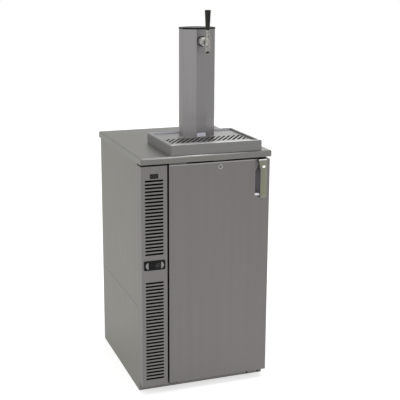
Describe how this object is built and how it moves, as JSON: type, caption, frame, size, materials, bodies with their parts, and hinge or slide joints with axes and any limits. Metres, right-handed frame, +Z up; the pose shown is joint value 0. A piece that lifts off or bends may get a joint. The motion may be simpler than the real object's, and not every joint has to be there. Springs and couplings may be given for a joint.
{
  "type": "draft beer cooler",
  "caption": "Floor-standing keg cooler with a hinged door beside a louvred machine column, a worktop, a drip tray with lift-out grille and an eight-sided column with a lever tap.",
  "frame": {"origin": "centre of the body's footprint on the floor; the door and fascia stand in front of the body", "axes": "+Z up from the floor, -Y out of the front (the door's side), +X to the right seen from the front"},
  "size_m": [0.502, 0.6105, 1.404],
  "materials": {
    "cabinet_steel": "brushed stainless side panels",
    "front_steel": "brushed stainless front",
    "strip_steel": "stainless base strip",
    "worktop_steel": "satin stainless worktop",
    "liner_steel": "bright stainless liner",
    "zinc_sheet": "zinc-plated sheet",
    "rigid_foam": "rigid insulating foam",
    "core_board": "raw board",
    "black_plastic": "black plastic",
    "rocker_plastic": "black glossy rocker",
    "controller_plastic": "black glossy controller",
    "dark_window": "dark display window",
    "silver_key": "silver keys",
    "hinge_steel": "plain steel fittings",
    "gasket_rubber": "dark soft rubber",
    "white_plastic": "white plastic",
    "cup_plastic": "dark grey plastic recess",
    "grip_metal": "satin grip bar",
    "lock_chrome": "bright lock",
    "tray_steel": "bright stainless tray",
    "grille_steel": "stainless grille",
    "column_steel": "brushed stainless column",
    "cap_plastic": "black cap",
    "tap_chrome": "polished tap",
    "tap_brass": "plain brass",
    "lever_steel": "polished lever rod",
    "handle_plastic": "black handle",
    "line_plastic": "clear plastic line",
    "line_foam": "foam pipe cover",
    "machine_black": "black painted steel",
    "fin_aluminium": "thin aluminium fins",
    "fan_plastic": "black fan wheel",
    "cover_paint": "white painted cover"
  },
  "bodies": {
    "cabinet": {"base_pan": "strip_steel", "front_frame": "cabinet_steel", "side_panel_left_lower": "cabinet_steel", "side_panel_left_upper": "cabinet_steel", "side_panel_right": "cabinet_steel", "back_panel": "zinc_sheet", "roof_panel": "zinc_sheet", "bay_partition": "zinc_sheet", "insulation": "rigid_foam", "inner_liner": "liner_steel", "worktop": "worktop_steel", "worktop_core": "core_board", "louvre_fascia": "front_steel", "switch_bezel": "black_plastic", "controller_case": "controller_plastic", "controller_window": "dark_window", "hinge_plate_top": "hinge_steel", "hinge_plate_bottom": "hinge_steel", "lock_keeper": "hinge_steel", "drip_tray": "tray_steel", "tap_column": "column_steel", "column_cap": "cap_plastic", "column_foot": "zinc_sheet", "column_screws": "hinge_steel", "tap_collar": "tap_chrome", "shank_nut": "tap_brass", "tap_shank": "tap_chrome", "coupling_nut": "tap_chrome", "tap_body": "tap_chrome", "tap_bonnet": "tap_chrome", "beer_line": "line_plastic", "line_insulation": "line_foam", "line_duct": "white_plastic", "line_fitting": "tap_brass", "compressor": "machine_black", "compressor_grommets": "gasket_rubber", "condenser_coil": "fin_aluminium", "condenser_shroud": "machine_black", "evaporator_cover": "cover_paint", "evaporator_coil": "fin_aluminium", "power_gland": "black_plastic"},
    "door": {"door_skin": "front_steel", "door_foam": "rigid_foam", "door_liner": "liner_steel", "door_gasket": "gasket_rubber", "door_bushes": "white_plastic", "handle_cup": "cup_plastic", "door_handle": "grip_metal", "lock_housing": "lock_chrome"},
    "lock": {"lock_plug": "lock_chrome"},
    "grille": {"drip_grille": "grille_steel"},
    "lever": {"tap_lever": "lever_steel", "lever_ferrule": "tap_chrome", "tap_handle": "handle_plastic"},
    "piston": {"tap_piston": "white_plastic"},
    "rocker": {"switch_rocker": "rocker_plastic"},
    "left_key": {"key_left": "silver_key"},
    "right_key": {"key_right": "silver_key"},
    "condenser_wheel": {"condenser_fan": "fan_plastic"},
    "evaporator_wheel": {"evaporator_fan": "fan_plastic"}
  },
  "joints": [
    {"name": "door_hinge", "type": "hinge", "parent": "cabinet", "child": "door", "pos_m": [-0.1315, -0.295, 0.87], "axis": [0, 0, -1], "range_deg": [0, 105]},
    {"name": "lock_turn", "type": "hinge", "parent": "door", "child": "lock", "pos_m": [0.05, -0.309, 0.8515], "axis": [0, -1, 0], "range_deg": [0, 90]},
    {"name": "grille_lift", "type": "slide", "parent": "cabinet", "child": "grille", "axis": [0, 0, 1], "range_m": [0, 0.12]},
    {"name": "lever_pull", "type": "hinge", "parent": "cabinet", "child": "lever", "pos_m": [0.04, -0.196, 1.305], "axis": [1, 0, 0], "range_deg": [0, 35]},
    {"name": "piston_slide", "type": "slide", "parent": "cabinet", "child": "piston", "axis": [0, 1, 0], "range_m": [0, 0.0085]},
    {"name": "rocker_tilt", "type": "hinge", "parent": "cabinet", "child": "rocker", "pos_m": [-0.20125, -0.306, 0.8338], "axis": [0, 0, 1], "range_deg": [0, 16]},
    {"name": "left_key_press", "type": "slide", "parent": "cabinet", "child": "left_key", "axis": [0, 1, 0], "range_m": [0, 0.0008], "stiffness_N_per_m": 500},
    {"name": "right_key_press", "type": "slide", "parent": "cabinet", "child": "right_key", "axis": [0, 1, 0], "range_m": [0, 0.0008], "stiffness_N_per_m": 500},
    {"name": "condenser_fan_spin", "type": "hinge", "parent": "cabinet", "child": "condenser_wheel", "pos_m": [-0.20075, -0.1795, 0.236], "axis": [0, 1, 0], "continuous": true},
    {"name": "evaporator_fan_spin", "type": "hinge", "parent": "cabinet", "child": "evaporator_wheel", "pos_m": [0.04875, 0.1545, 0.701], "axis": [0, 1, 0], "continuous": true}
  ],
  "couplings": [
    {"joint": "piston_slide", "follows": "lever_pull", "m_per_rad": 0.0131}
  ]
}
